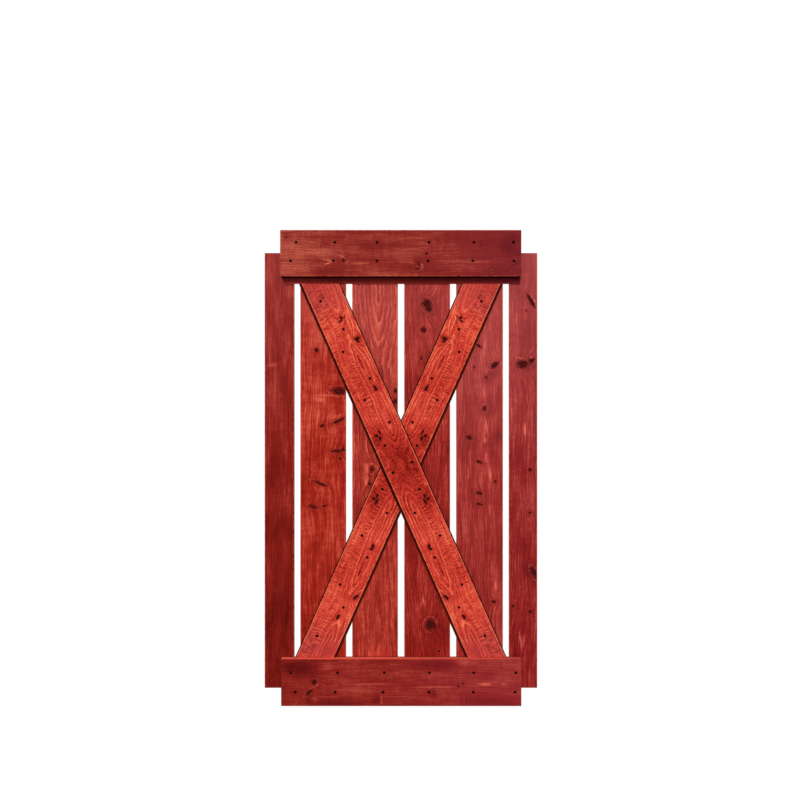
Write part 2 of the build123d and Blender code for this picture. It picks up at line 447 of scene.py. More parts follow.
@dataclass(frozen=True)
class Stain:
    """A thin stain on pine: its screen colours and how strongly the wood shows through."""

    name: str
    dark: Colour
    middle: Colour
    light: Colour
    glow: Colour = (236, 104, 76)
    bloom: Colour = (190, 92, 92)
    knot: Colour = (94, 22, 18)
    core: Colour = (34, 6, 5)
    # Painted light and shade: a line along the edges, a ledge highlight, shade under things, and round and
    # inside the holes.
    edge_shade: Colour = (52, 6, 5)
    ledge_highlight: Colour = (255, 106, 86)
    painted_shade_colour: Colour = (44, 4, 3)
    hole_rim_shade: Colour = (18, 4, 3)
    hole_inside_shade: Colour = (10, 3, 2)
    veins: float = 0.1
    ragged: float = 1.2
    streaks: float = 1.3
    fibres: float = 0.4
    clouds: float = 0.6
    chatter: float = 0.35
    speckle: float = 0.42
    arcs: float = 0.5
    saw_marks: float = 0.0
    # The arrises' wear and painted highlight: its strength and width.
    arris: float = 0.4
    arris_width: float = 0.0045
    # The painted shade line along the edges: its strength and band.
    outline: float = 0.0
    edge_shade_band: Place = (0.006, 0.0042)
    hole_band: Place = (0.0082, 0.0056)
    hole_shade: float = 0.85
    tone_share: float = 0.5
    bloom_share: float = 0.6
    vein_rise: float = 0.3
    streak_rise: float = 0.9
    fibre_rise: float = 0.4
    knot_sink: float = 1.5
    rough: Place = (0.82, 0.62)
    relief: Place = (0.35, 0.0006)
    specular: float = 0.04

    def material(self, seed: float, ring_width: float) -> bpy.types.Material:
        """Build the stained wood.

        Args:
            seed: Shifts the noise, so that no two boards match.
            ring_width: Millimetres from one light ring line to the next.

        Returns:
            The material.
        """
        made = bpy.data.materials.new(self.name)
        w = Wiring(made)
        across, along, deep = (w.field_of(n) for n in ("across", "along", "deep"))
        radius, tone, show = (w.field_of(n) for n in ("figure", "tone", "show"))
        aside = w.plus(across, seed)
        even = w.place(aside, along, deep)
        wander = w.less(w.noise(even, Noise.WANDER), 0.5)
        swayed = w.plus(w.plus(radius, seed), w.times(wander, 0.007))
        streaks = w.along_grain(Noise.STREAKS, swayed, along, deep)
        ragged = w.times(w.less(streaks, 0.5), self.ragged)
        veins = self.veins_of(w, radius, w.plus(wander, ragged), even, ring_width)
        fibres = w.along_grain(Noise.FIBRES, aside, along, deep)
        clouds = w.along_grain(Noise.CLOUDS, aside, along, deep)
        chatter = w.across_grain(Noise.CHATTER, aside, w.plus(along, seed), deep)
        speckle = w.along_grain(Noise.SPECKLE, aside, along, deep)
        shade = w.times(w.times(veins, show), self.veins)
        for noise, strength in ((streaks, self.streaks), (fibres, self.fibres), (clouds, self.clouds),
                                (chatter, self.chatter), (speckle, self.speckle)):
            shade = w.plus(shade, w.times(w.less(noise, 0.5), strength))
        shade = w.plus(shade, w.times(tone, self.tone_share))
        if self.saw_marks:
            shade = w.plus(shade, self.marks(w, across, along, show))
        shade = w.calc("ADD", shade, 0.5, clamp=True)
        stops = ((0, self.dark), (0.5, self.middle), (0.82, self.light), (1, self.glow))
        bloom = w.times(w.field_of("bloom"), self.bloom_share)
        colour = w.mix(bloom, w.ramp(shade, stops), linear(self.bloom))
        colour, sunk = self.knots(w, colour, even)
        colour = self.edges(w, colour, even)
        height = w.plus(w.times(veins, self.vein_rise), w.times(streaks, self.streak_rise))
        height = w.plus(w.plus(height, w.times(fibres, self.fibre_rise)), sunk)
        w.surface(colour, w.grade(shade, 0.0, 1.0, *self.rough), height, self.relief, self.specular)
        return made

    def veins_of(self, w: Wiring, radius: Socket, wander: Socket, even: Socket, ring_width: float) -> Socket:
        """Draw the growth rings as thin light lines, each with a dark one beside it.

        Args:
            w: The material's wiring.
            radius: The distance in metres from the heart.
            wander: Noise that bends the lines.
            even: The place on the board.
            ring_width: Millimetres from one line to the next.

        Returns:
            From below 0 on a dark line to 1 on a light one.
        """
        uneven = w.less(w.noise(w.place(radius, 0.3, 0.7), Noise.RING_SPACING), 0.5)
        count = w.plus(w.times(radius, 1.0 / MM / ring_width), w.times(uneven, 1.5))
        turn = w.times(w.plus(count, w.times(wander, 0.9)), 2 * math.pi)
        light = w.grade(w.calc("SINE", turn), 0.55, 1.0)
        dark = w.grade(w.calc("SINE", w.plus(turn, 1.7)), 0.5, 1.0, 0.0, 0.7)
        fade = w.grade(w.noise(even, Noise.RING_FADING), 0.34, 0.6, 0.15, 1.0)
        return w.times(w.less(light, dark), fade)

    def knots(self, w: Wiring, colour: Socket, even: Socket) -> tuple[Socket, Socket]:
        """Lay the knots over the wood's colour.

        Args:
            w: The material's wiring.
            colour: The wood's colour.
            even: The place on the board.

        Returns:
            The colour with knots, and how far they sink.
        """
        rough = w.less(w.noise(even, Noise.KNOT_EDGE), 0.5)
        away = w.plus(w.field_of("knot"), w.times(rough, 1.7))
        smudge = w.times(w.grade(away, 2.2, 0.8), w.grade(w.noise(even, Noise.KNOT_SMUDGE), 0.4, 0.6))
        arcs = w.grade(w.calc("SINE", w.times(away, 9.0)), 0.3, 0.9)
        arcs = w.times(arcs, w.times(w.grade(away, 0.9, 1.15), w.grade(away, 2.0, 1.4)))
        arcs = w.times(arcs, w.grade(w.noise(even, Noise.KNOT_ARCS), 0.36, 0.5))
        core = w.grade(away, 1.05, 0.72)
        cracks = w.grade(w.noise(even, Noise.KNOT_CRACKS), 0.4, 0.6)
        heart = w.mix(cracks, linear(self.core), linear(self.knot))
        colour = w.mix(w.times(smudge, 0.5), colour, linear(self.knot))
        colour = w.mix(w.times(arcs, self.arcs), colour, linear(self.light))
        return w.mix(core, colour, heart), w.times(core, -self.knot_sink)

    def marks(self, w: Wiring, across: Socket, along: Socket, show: Socket) -> Socket:
        """Make the fine ticks that a saw leaves across a board.

        Args:
            w: The material's wiring.
            across: The place across the board.
            along: The place along the board.
            show: Where the rings show most, which is where the ticks fade.

        Returns:
            What they add to the shade.
        """
        ticks = w.less(w.grade(w.across_grain(Noise.SAW_TICKS, across, along, 0.0), 0.32, 0.6), 0.75)
        zones = w.grade(w.along_grain(Noise.SAW_ZONES, across, along, 1.7), 0.3, 0.6)
        zones = w.times(zones, w.less(1.15, show))
        return w.times(w.times(ticks, zones), self.saw_marks)

    def edges(self, w: Wiring, colour: Socket, even: Socket) -> Socket:
        """Lighten the arrises with wear and a painted highlight, and paint shade along the edges, under
        things and in and round the holes.

        Args:
            w: The material's wiring.
            colour: The colour so far.
            even: The place on the board.

        Returns:
            The colour with its edges.
        """
        rim, wide = w.field_of("rim"), self.arris_width
        # The light line along the arrises is partly wear and partly a painted highlight.
        wear_and_highlight = w.grade(w.noise(even, Noise.ARRIS_WEAR_AND_HIGHLIGHT), 0.32, 0.56)
        near = w.times(w.times(w.grade(rim, wide, wide * 0.6), wear_and_highlight), self.arris)
        colour = w.mix(near, colour, linear(self.glow))
        # Painted shade: a dark line along the edges of the face.
        if self.outline:
            colour = w.mix(w.grade(rim, *self.edge_shade_band, 0.0, self.outline), colour, linear(self.edge_shade))
        # Painted highlight on the rail's lit upper ledge.
        colour = w.mix(w.field_of("lit"), colour, linear(self.ledge_highlight))
        # Painted shade under the rails, on the lip and along the braces' sides.
        colour = w.mix(w.grade(w.field_of("painted_shade"), 0.05, 0.95), colour, linear(self.painted_shade_colour))
        # Painted shade round the holes' mouths and inside them.
        rims = w.grade(w.field_of("hole"), *self.hole_band, 0.0, self.hole_shade)
        colour = w.mix(rims, colour, linear(self.hole_rim_shade))
        return w.mix(w.field_of("sunk"), colour, linear(self.hole_inside_shade))


@dataclass(frozen=True)
class Blacking:
    """The black phosphate on the screws, rubbed a little on its high places."""

    name: str = "black_phosphate"
    dark: Colour = (6, 2, 2)
    rubbed: Colour = (20, 8, 7)
    rough: Place = (0.6, 0.8)
    relief: Place = (0.25, 0.0001)
    specular: float = 0.03

    def material(self) -> bpy.types.Material:
        """Build the blackened steel.

        Returns:
            The material.
        """
        made = bpy.data.materials.new(self.name)
        w = Wiring(made)
        cloud = w.noise(w.on_object(), Noise.STEEL)
        colour = w.ramp(cloud, ((0, self.dark), (1, self.rubbed)))
        w.surface(colour, w.grade(cloud, 0.2, 0.8, *self.rough), cloud, self.relief, self.specular)
        return made


@dataclass(frozen=True)
class Look:
    """A board's stain, growth rings, flaws and tones.

    Steps are shares of its length with a value each. Shares run from 0 at the foot of an
    upright or leaning board, and from 0 at the right end of a level one.
    """

    stain: Stain
    heart: float
    rises: Steps
    ring_width: float = 9.0
    first_ring: float = 0.0
    waver: float = 1.0
    arch: float = 1.35
    knot_shade: float = 0.5
    knot_reach: float = 1.9
    patch_edge: float = 1.5
    shows: Steps = ((0.0, 1.0), (1.0, 1.0))
    fades: Steps = ((0.0, 0.0), (1.0, 0.0))
    blooms: Steps = ((0.0, 0.0), (1.0, 0.0))
    knots: tuple[Knot, ...] = ()
    patches: tuple[Patch, ...] = ()


def corner(a: Place, b: Place, c: Place, d: Place) -> Place:
    """Find where two lines cross.

    Args:
        a: A point on the first line.
        b: Another point on it.
        c: A point on the second line.
        d: Another point on it.

    Returns:
        The crossing.
    """
    r, s = (b[0] - a[0], b[1] - a[1]), (d[0] - c[0], d[1] - c[1])
    t = ((c[0] - a[0]) * s[1] - (c[1] - a[1]) * s[0]) / (r[0] * s[1] - r[1] * s[0])
    return (a[0] + t * r[0], a[1] + t * r[1])


def drawn_in(quad: Outline, inset: float) -> Outline:
    """Move the four sides of a board's outline inwards.

    Args:
        quad: Its corners, lower left, lower right, upper right, upper left.
        inset: How far.

    Returns:
        The corners of the smaller outline.
    """
    sides = []
    for k in range(4):
        (ax, az), (bx, bz) = quad[k], quad[(k + 1) % 4]
        run = math.hypot(bx - ax, bz - az)
        nx, nz = -(bz - az) / run * inset, (bx - ax) / run * inset
        sides.append(((ax + nx, az + nz), (bx + nx, bz + nz)))
    return [corner(*sides[k - 1], *sides[k]) for k in range(4)]


def spread(length: float, step: float, near: tuple[float, ...] = (0.0025, 0.006)) -> np.ndarray:
    """Divide a side evenly, with a few closer places at both its ends.

    Args:
        length: The side's length.
        step: The wanted distance between places.
        near: The closer places' distances from an end.

    Returns:
        Shares of the length, from 0 to 1.
    """
    count = max(2, round((length - 2 * near[-1]) / step))
    inner = np.linspace(near[-1], length - near[-1], count + 1)
    ends = np.array(near[:-1])
    return np.concatenate(([0.0], ends, inner, length - ends[::-1], [length])) / length


def sheet(quad: Outline, depth: float, across: np.ndarray, up: np.ndarray) -> np.ndarray:
    """Lay a grid of points over an outline.

    Args:
        quad: The outline's corners.
        depth: The depth the grid lies at.
        across: Shares from left to right.
        up: Shares from bottom to top.

    Returns:
        The points, as rows from bottom to top.
    """
    s, t = np.meshgrid(across, up)
    low_left, low_right, top_right, top_left = (np.array(c) for c in quad)
    s, t = s[..., None], t[..., None]
    flat = (low_left * (1 - s) + low_right * s) * (1 - t) + (top_left * (1 - s) + top_right * s) * t
    return np.stack([flat[..., 0], np.full(flat.shape[:2], depth), flat[..., 1]], axis=-1)


def mesh_piece(name: str, points: np.ndarray, faces: Faces) -> Piece:
    """Make an object from points and faces.

    Args:
        name: The object's name.
        points: Its points in metres.
        faces: Its faces.

    Returns:
        The object, in the scene.
    """
    mesh = bpy.data.meshes.new(name)
    mesh.from_pydata(points.tolist(), [], faces)
    mesh.update()
    piece = bpy.data.objects.new(name, mesh)
    bpy.context.scene.collection.objects.link(piece)
    return piece


def cut(piece: Piece, tool: Piece, how: str = "DIFFERENCE") -> None:
    """Cut one closed mesh with another, or join them, and drop the second.

    Args:
        piece: The mesh that is changed.
        tool: The mesh it is cut with or joined to.
        how: DIFFERENCE or UNION.
    """
    change = piece.modifiers.new("cut", "BOOLEAN")
    change.operation = how
    change.solver = "MANIFOLD"
    change.object = tool
    bpy.context.view_layer.update()
    graph = bpy.context.evaluated_depsgraph_get()
    made = bpy.data.meshes.new_from_object(piece.evaluated_get(graph))
    made.materials.clear()
    piece.modifiers.clear()
    old, name = piece.data, piece.data.name
    piece.data = made
    bpy.data.meshes.remove(old)
    made.name = name
    bpy.data.meshes.remove(tool.data)


def places_of(items: bpy.types.bpy_prop_collection, name: str = "co") -> np.ndarray:
    """Read where a mesh's points or faces are.

    Args:
        items: The points or the faces.
        name: What is read: co of a point, center of a face.

    Returns:
        One row to each.
    """
    rows = np.empty(len(items) * 3)
    items.foreach_get(name, rows)
    return rows.reshape(-1, 3)


def hand_over(piece: Piece, node: str, material: bpy.types.Material) -> None:
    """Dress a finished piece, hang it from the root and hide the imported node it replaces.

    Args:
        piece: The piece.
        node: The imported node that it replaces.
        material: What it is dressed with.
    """
    piece.data.materials.append(material)
    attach(piece, "root")
    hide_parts(node)
    LOG.info("%s: %d faces", piece.name, len(piece.data.polygons))


@dataclass
class Board:
    """A sawn board with four corners on the door's front, its look and its holes.

    Metres, but its reach and the slack at its face and edges are in millimetres.
    """

    node: str
    look: Look
    layer: Layer
    grain: Grain
    corners: Outline
    seed: int
    back_corners: Outline | None = None
    origin: Place | None = None
    reach: float | None = None
    mirrored: bool = False
    folded: bool = False
    ease: float = 0.0015
    step: float = 0.005
    face_slack: float = 0.2
    edge_slack: float = 0.3
    bores: list[Bore] = field(default_factory=list)

    def shell(self) -> tuple[np.ndarray, Faces]:
        """Build the board's closed skin.

        Returns:
            Its points and its faces.
        """
        front_y, back_y = self.layer.value
        front, back = self.corners, self.back_corners or self.corners
        across = spread(math.dist(front[0], front[1]), self.step)
        up = spread(math.dist(front[0], front[3]), self.step)
        face = sheet(drawn_in(front, self.ease), front_y, across, up)
        rear = sheet(drawn_in(back, self.ease), back_y, across, up)
        rings = []
        for share in np.linspace(0.0, 1.0, 4):
            blend = [tuple(np.array(f) * (1 - share) + np.array(b) * share) for f, b in zip(front, back)]
            depth = front_y + self.ease + share * (back_y - front_y - 2 * self.ease)
            rings.append(sheet(blend, depth, across, up))
        rows, columns = len(up), len(across)
        index = np.arange(rows * columns).reshape(rows, columns)
        edge = np.concatenate([index[0, :-1], index[:-1, -1], index[-1, :0:-1], index[:0:-1, 0]])
        points = [face.reshape(-1, 3), rear.reshape(-1, 3)] + [r.reshape(-1, 3)[edge] for r in rings]
        size = rows * columns
        loops = [edge] + [2 * size + k * len(edge) + np.arange(len(edge)) for k in range(4)] + [size + edge]
        faces = []
        for a in (index, index[:, ::-1] + size):
            quads = np.stack([a[:-1, :-1], a[:-1, 1:], a[1:, 1:], a[1:, :-1]], axis=-1)
            faces += [tuple(q) for q in quads.reshape(-1, 4).tolist()]
        for near, far in zip(loops, loops[1:]):
            quads = np.stack([near, far, np.roll(far, -1), np.roll(near, -1)], axis=-1)
            faces += [tuple(q) for q in quads.tolist()]
        return np.concatenate(points), faces

    def blank(self) -> Piece:
        """Make the board before its holes are cut."""
        return mesh_piece(self.node + "_board", *self.shell())

    def carve(self, piece: Piece) -> None:
        """Cut the countersinks and the open holes.

        Args:
            piece: The board.
        """
        if not self.bores:
            return
        points, faces = [], []
        for bore in self.bores:
            rings = bore.tool(*self.layer.value)
            faces += ring_faces(len(rings), bore.sides, len(points))
            points += sum(rings, [])
        cut(piece, mesh_piece("bore_tool", np.array(points), faces))

    def build(self, slot: str) -> None:
        """Build the board with its holes, and dress it.

        Args:
            slot: The record's finish; not used.
        """
        piece = self.blank()
        self.carve(piece)
        self.write_fields(piece.data)
        self.mark_holes(piece.data)
        wood = self.look.stain.material(self.seed * SEED_SHIFT, self.look.ring_width)
        hand_over(piece, self.node, wood)

    def on_board(self, x: np.ndarray | float, z: np.ndarray | float) -> tuple:
        """Turn places on the door's front into places on the board.

        Args:
            x: Millimetres to the right of the door's middle.
            z: Millimetres above the door's foot.

        Returns:
            Millimetres across and along the board from its middle.
        """
        lean = math.radians(self.grain.value)
        c, s = math.cos(lean), math.sin(lean)
        middle = np.array(self.origin or np.mean(np.array(self.corners), axis=0)) / MM
        dx, dz = x - middle[0], z - middle[1]
        hand = -1 if self.mirrored else 1
        return (dx * c + dz * s) * hand, dx * -s + dz * c

    def around(self, spot: Knot | Patch, u: np.ndarray, v: np.ndarray) -> tuple[np.ndarray, np.ndarray]:
        """Measure from a knot or a patch to each place.

        Args:
            spot: The knot or patch.
            u: Millimetres across the board from its middle.
            v: Millimetres along the board from its middle.

        Returns:
            The distances across and along the spot, as shares of its size.
        """
        lean = math.radians(spot.lean)
        c, s = math.cos(lean), math.sin(lean)
        su, sv = self.on_board(spot.x, spot.z)
        p, q = u - su, v - sv
        return (p * c + q * s) / spot.across, (-p * s + q * c) / spot.along

    def share(self, v: np.ndarray) -> np.ndarray:
        """Turn places along the board into shares of its length, from 0 to 1."""
        return (v + self.reach) / (2 * self.reach) if self.reach else (v - v.min()) / np.ptp(v)

    def stepped(self, steps: Steps, v: np.ndarray) -> np.ndarray:
        """Read steps at each place along the board."""
        return np.interp(self.share(v), *zip(*steps))

    def drifted(self, kind: Drift, u: np.ndarray, v: np.ndarray) -> np.ndarray:
        """Give one of the board's slow changes at each place."""
        number, size, run_u, run_v = kind.value
        return size * drift(u, v, run_u, run_v, self.seed + number)

    def figure(self, u: np.ndarray, v: np.ndarray, f: np.ndarray) -> np.ndarray:
        """Measure from the heart to each place, along the growth rings' radius.

        Args:
            u: Millimetres across the board from its middle.
            v: Millimetres along the board from its middle.
            f: The same, folded at the middle where both halves match.

        Returns:
            The distances in metres.
        """
        look = self.look
        uneven = self.drifted(Drift.SWELL, u, f) + self.drifted(Drift.RIPPLE, u, f)
        rise = self.stepped(look.rises, v) + look.waver * uneven
        sway = self.drifted(Drift.SWAY, f, f * 0) + self.drifted(Drift.WOBBLE, u, f)
        heart = look.heart * np.tanh(v / FOLD_MIX) if self.folded else look.heart
        aside = np.abs(u - heart - sway * look.waver)
        radius = (aside ** look.arch + rise.clip(0) ** look.arch) ** (1 / look.arch)
        for knot in look.knots:
            ku, kv = self.on_board(knot.x, knot.z)
            radius = radius + knot.bulge(u - ku, v - kv)
        return (radius + look.ring_width / 4 - look.first_ring) * MM

    def shown(self, u: np.ndarray, v: np.ndarray) -> np.ndarray:
        """Say how clearly the ring lines show at each place, from 0 to 1."""
        return self.stepped(self.look.shows, v)

    def toned(self, u: np.ndarray, v: np.ndarray, f: np.ndarray, away: np.ndarray) -> np.ndarray:
        """Say how much lighter or darker than its stain each place is.

        Args:
            u: Millimetres across the board from its middle.
            v: Millimetres along the board from its middle.
            f: The same, folded at the middle where both halves match.
            away: The distance from the nearest knot, in shares of its size.

        Returns:
            Below 0 for darker and above 0 for lighter places.
        """
        wash = self.drifted(Drift.WASH, u, f) + self.drifted(Drift.MOTTLE, u, f)
        tone = self.stepped(self.look.fades, v) + wash * self.look.waver
        tone = tone - self.look.knot_shade * np.exp(-((away / self.look.knot_reach) ** 2))
        for patch in self.look.patches:
            p, q = self.around(patch, u, v)
            tone = tone + patch.tone * np.exp(-((p ** 2 + q ** 2) ** self.look.patch_edge))
        return tone

    def write_fields(self, mesh: bpy.types.Mesh) -> None:
        """Give every point its place in the rings, tone, knots and edges.

        Args:
            mesh: The board's mesh.
        """
        co = places_of(mesh.vertices) / MM
        u, v = self.on_board(co[:, 0], co[:, 2])
        f = np.hypot(v, FOLD_ROUND) if self.folded else v
        away = np.full(len(co), FAR_FROM_KNOTS)
        for knot in self.look.knots:
            away = np.minimum(away, np.hypot(*self.around(knot, u, v)) + (1 - knot.depth))
        values = {
            "across": u * MM,
            "along": f * MM,
            "deep": co[:, 1] * MM,
            "figure": self.figure(u, v, f),
            "show": self.shown(u, v),
            "tone": self.toned(u, v, f, away),
            "knot": away,
            "bloom": self.stepped(self.look.blooms, v),
            "rim": self.rim(co) * MM,
            # The next two carry painted shade and a painted highlight.
            "painted_shade": self.painted_shade(co),
            "lit": self.lit(co),
            "hole": self.hole(co) * MM,
        }
        for name, value in values.items():
            layer = mesh.attributes.new(name, "FLOAT", "POINT")
            layer.data.foreach_set("value", np.ascontiguousarray(value, dtype=np.float32))

    def mark_holes(self, mesh: bpy.types.Mesh) -> None:
        """Mark the faces inside the holes, which get painted shade.

        Args:
            mesh: The board's mesh.
        """
        middle = places_of(mesh.polygons, "center") / MM
        behind = middle[:, 1] > self.layer.value[0] / MM + self.face_slack
        inside = np.zeros(len(middle), dtype=np.float32)
        for bore in self.bores:
            near = np.hypot(middle[:, 0] - bore.x, middle[:, 2] - bore.z) < bore.rim
            inside[near & behind] = 1.0
        layer = mesh.attributes.new("sunk", "FLOAT", "FACE")
        layer.data.foreach_set("value", inside)

    def hole(self, co: np.ndarray) -> np.ndarray:
        """Measure from each point to the nearest hole's middle, all in millimetres.

        Args:
            co: The points.

        Returns:
            The distances, 50 at most.
        """
        gap = np.full(len(co), OFF_THE_FACE)
        for bore in self.bores:
            gap = np.minimum(gap, np.hypot(co[:, 0] - bore.x, co[:, 2] - bore.z))
        return gap

    def beside(self, side: int, co: np.ndarray) -> np.ndarray:
        """Measure inwards from one side of the face, in millimetres.

        Args:
            side: 0 for the lower side, 1 for the right, 2 for the upper and 3 for the left.
            co: The points.

        Returns:
            The distances, below 0 for points outside the face.
        """
        (px, pz), (qx, qz) = (np.array(self.corners[k % 4]) / MM for k in (side, side + 1))
        run = math.hypot(qx - px, qz - pz)
        return ((qx - px) * (co[:, 2] - pz) - (qz - pz) * (co[:, 0] - px)) / run

    def rim(self, co: np.ndarray) -> np.ndarray:
        """Measure from each point to the nearest long edge of the face, in millimetres.

        Args:
            co: The points.

        Returns:
            The distances, 50 for what lies outside the face.
        """
        sides = (0, 2) if self.grain is Grain.LEVEL else (1, 3)
        gap = np.minimum(*(self.beside(side, co) for side in sides))
        return np.where(gap < -self.edge_slack, OFF_THE_FACE, gap.clip(0.0, OFF_THE_FACE))

    def lit(self, co: np.ndarray) -> np.ndarray:
        """Mark the ledges that catch the light, up to 1: none on a plain board."""
        return np.zeros(len(co))

    def painted_shade(self, co: np.ndarray) -> np.ndarray:
        """Mark where painted shade goes, up to 1: none on a plain board."""
        return np.zeros(len(co))


@dataclass
class Rail(Board):
    """A cross rail, with painted shade below its lower edge and a painted highlight on its upper one.

    Its own sizes are in millimetres.
    """

    # The first three fields place the upper ledge's painted highlight, the other four the painted shade at
    # the ledge's back and below the rail.
    ledge_edge: float = 0.4
    bright_depth: float = 2.0
    bright: Steps = ((-80, 1.0), (0, 0.85), (400, 0.75), (480, 0.5))
    dark_strip: float = 2.0
    dark: float = 0.7
    under_band: Place = (1.2, 0.2)
    under_depth: Place = (0.4, 1.5)

    def lit(self, co: np.ndarray) -> np.ndarray:
        """Paint a highlight on the upper ledge, weaker towards the right.

        Args:
            co: The points in millimetres.

        Returns:
            How bright each point is, from 0 to 1.
        """
        high = max(z for _, z in self.corners) / MM
        ledge_highlight = (co[:, 2] > high - self.ledge_edge) * (co[:, 1] < self.bright_depth)
        return ledge_highlight * np.interp(co[:, 0], *zip(*self.bright))

    def painted_shade(self, co: np.ndarray) -> np.ndarray:
        """Paint shade on the underside, and on the ledge's back where it meets the planks.

        Args:
            co: The points in millimetres.

        Returns:
            How dark each point is, from 0 to 1.
        """
        low, high = (f(z for _, z in self.corners) / MM for f in (min, max))
        front, back = (y / MM for y in self.layer.value)
        below = smooth_step(*(low + part for part in self.under_band), co[:, 2])
        below = below * smooth_step(*(front + part for part in self.under_depth), co[:, 1])
        strip = (co[:, 2] > high - self.dark_strip) * (co[:, 1] > back - self.dark_strip)
        return np.maximum(below, self.dark * strip)


@dataclass
class LippedRail(Rail):
    """The top rail, with the thin lip set back below its face."""

    lip: Outline = field(default_factory=list)
    lip_ease: float = 0.0008
    # The lip's painted shadow under the rail's face, from its foot to the face.
    lip_shades: Steps = ((0, 0.1), (0.25, 0.5), (0.7, 0.7), (1, 0.7))
    joint_band: float = 1.0
    joint_depth: float = 0.4

    def blank(self) -> Piece:
        """Make the rail and join its lip to it.

        Returns:
            The rail before its holes are cut.
        """
        piece = super().blank()
        strip = Board(self.node, self.look, Layer.LIP, self.grain, self.lip, self.seed, ease=self.lip_ease)
        cut(piece, mesh_piece("lip", *strip.shell()), "UNION")
        return piece

    def painted_shade(self, co: np.ndarray) -> np.ndarray:
        """Paint shade on the underside, and a painted shadow on the lip, darkest where it meets the rail.

        Args:
            co: The points in millimetres.

        Returns:
            How dark each point is, from 0 to 1.
        """
        low = min(z for _, z in self.corners) / MM
        foot = min(z for _, z in self.lip) / MM
        share = np.clip((co[:, 2] - foot) / (low - foot), 0.0, 1.0)
        behind = co[:, 1] > self.layer.value[0] / MM + self.joint_depth
        below = (co[:, 2] < low + self.joint_band) & behind
        return np.where(below, np.interp(share, *zip(*self.lip_shades)), 0.0)

    def lit(self, co: np.ndarray) -> np.ndarray:
        """Leave the upper edge as plain as the face."""
        return np.zeros(len(co))


@dataclass
class Brace(Board):
    """A brace, with painted shade on its lower side, and ring lines that show most on one side of each arm.

    Its own sizes are in millimetres.
    """

    # Painted shade along the lower and upper sides.
    lower_edge: float = 0.7
    lower_shades: Place = (0.86, 0.58)
    upper_edge: float = 0.4
    upper_shade: float = 0.75
    clear_side: Place = (-14.0, 6.0)
    cross_pull: Place = (20.0, 90.0)
    faint: float = 0.12
    cross_fade: Place = (60.0, 160.0)
    cross_faint: float = 0.35

    def shown(self, u: np.ndarray, v: np.ndarray) -> np.ndarray:
        """Let the ring lines show most on one side of an arm, and less at the crossing.

        Args:
            u: Millimetres across the board from its middle.
            v: Millimetres along the board from its middle.

        Returns:
            How clearly they show, from 0 to 1.
        """
        pull, run = self.cross_pull
        side = smooth_step(*self.clear_side, u * np.tanh(v / FOLD_MIX) + pull * np.exp(-((v / run) ** 2)))
        out = smooth_step(*self.cross_fade, np.abs(v))
        return (self.faint + (1 - self.faint) * side) * (self.cross_faint + (1 - self.cross_faint) * out)

    def painted_shade(self, co: np.ndarray) -> np.ndarray:
        """Paint shade on the lower side, which slopes out towards the planks, and along the upper one.

        Args:
            co: The points in millimetres.

        Returns:
            How dark each point is, from 0 to 1.
        """
        lower, upper = (3, 1) if self.grain is Grain.LEFT_ARM else (1, 3)
        slope = np.interp(co[:, 1], [y / MM for y in self.layer.value], self.lower_shades)
        low = np.where(self.beside(lower, co) < self.lower_edge, slope, 0.0)
        high = np.where(self.beside(upper, co) < self.upper_edge, self.upper_shade, 0.0)
        return np.maximum(low, high)


def screw_places(node: str) -> list[tuple[float, float, float, float]]:
    """Find a group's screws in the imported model.

    Args:
        node: The screws' node.

    Returns:
        Each screw's x and z, the depth of its head and of its tip, in metres.
    """
    lumps: list[list[Vector]] = []
    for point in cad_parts[node].data.vertices:
        near = [m for m in lumps if math.hypot(m[0].x - point.co.x, m[0].z - point.co.z) < SCREW_WIDTH]
        if near:
            near[0].append(point.co)
        else:
            lumps.append([point.co])
    found = []
    for points in lumps:
        low = [min(p[c] for p in points) for c in range(3)]
        high = [max(p[c] for p in points) for c in range(3)]
        found.append(((low[0] + high[0]) / 2, (low[2] + high[2]) / 2, low[1], high[1]))
    return sorted(found)


def screw_bores(board: str) -> list[Bore]:
    """Place the countersinks of one board's screws."""
    return [Bore(x / MM, z / MM) for x, z, _, _ in screw_places(board + "_screws")]


